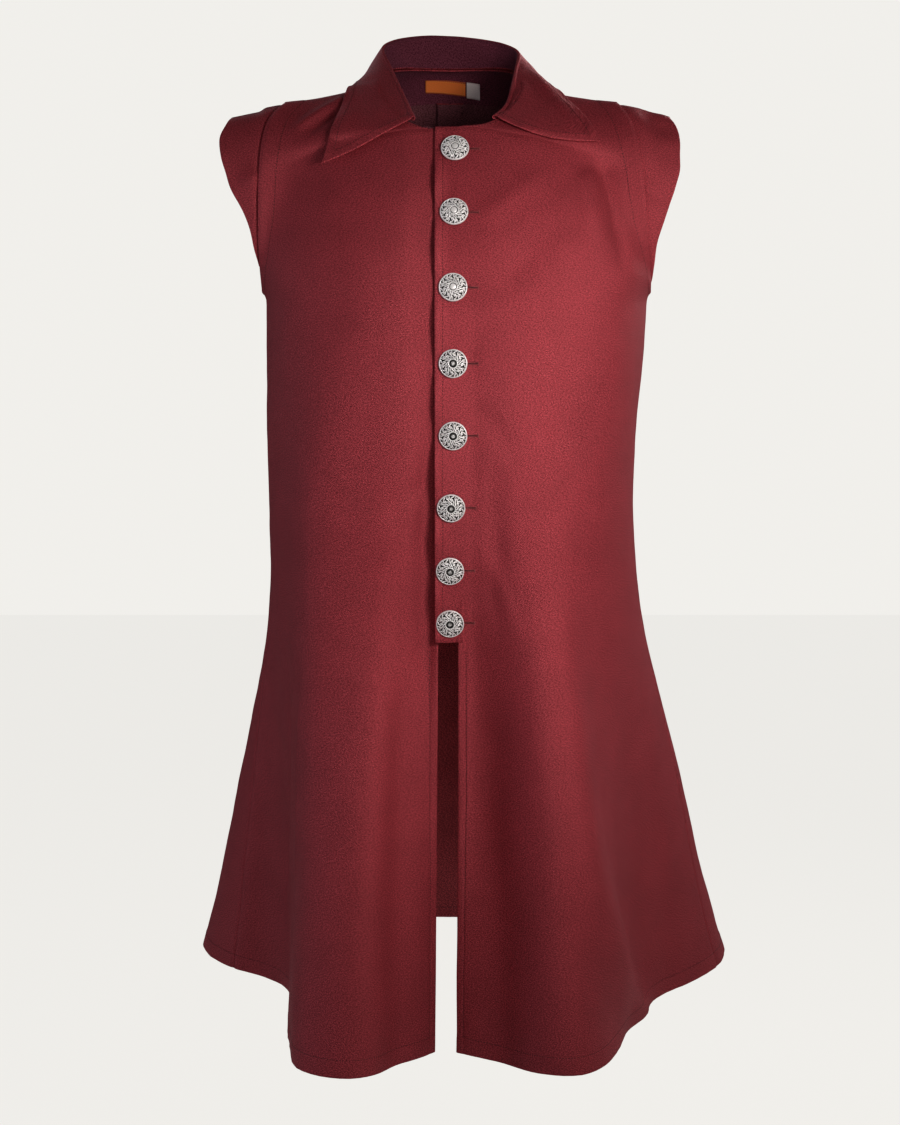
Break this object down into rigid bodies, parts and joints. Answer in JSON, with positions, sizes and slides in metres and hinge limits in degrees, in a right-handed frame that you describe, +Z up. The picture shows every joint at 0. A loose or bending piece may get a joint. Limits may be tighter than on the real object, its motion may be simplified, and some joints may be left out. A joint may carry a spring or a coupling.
{
  "type": "long sleeveless waistcoat",
  "caption": "Long-skirted sleeveless waistcoat of wine-red twill, worn and hollow, with a turned-down collar, cap wings, domed metal buttons, a front slit and a back pleat.",
  "frame": {"origin": "midway between the two shoulder tips, where the wearer's shoulders hold the garment", "axes": "+Z up, -Y the way the garment's front faces, +X towards the wearer's left"},
  "size_m": [0.613, 0.482, 1.0618],
  "materials": {
    "cloth": "fine heavy twill with a slight sheen",
    "button_metal": "cast openwork, polished high and dark in the recesses",
    "label_cloth": "plain woven ribbon",
    "tag_cloth": "plain satin tape"
  },
  "bodies": {
    "root": {"front_left": "cloth", "front_right": "cloth", "back": "cloth", "yoke": "cloth", "wing_right": "cloth", "wing_left": "cloth", "collar": "cloth", "button_1": "button_metal", "button_2": "button_metal", "button_3": "button_metal", "button_4": "button_metal", "button_5": "button_metal", "button_6": "button_metal", "button_7": "button_metal", "button_8": "button_metal", "label": "label_cloth", "size_tag": "tag_cloth"}
  },
  "joints": []
}
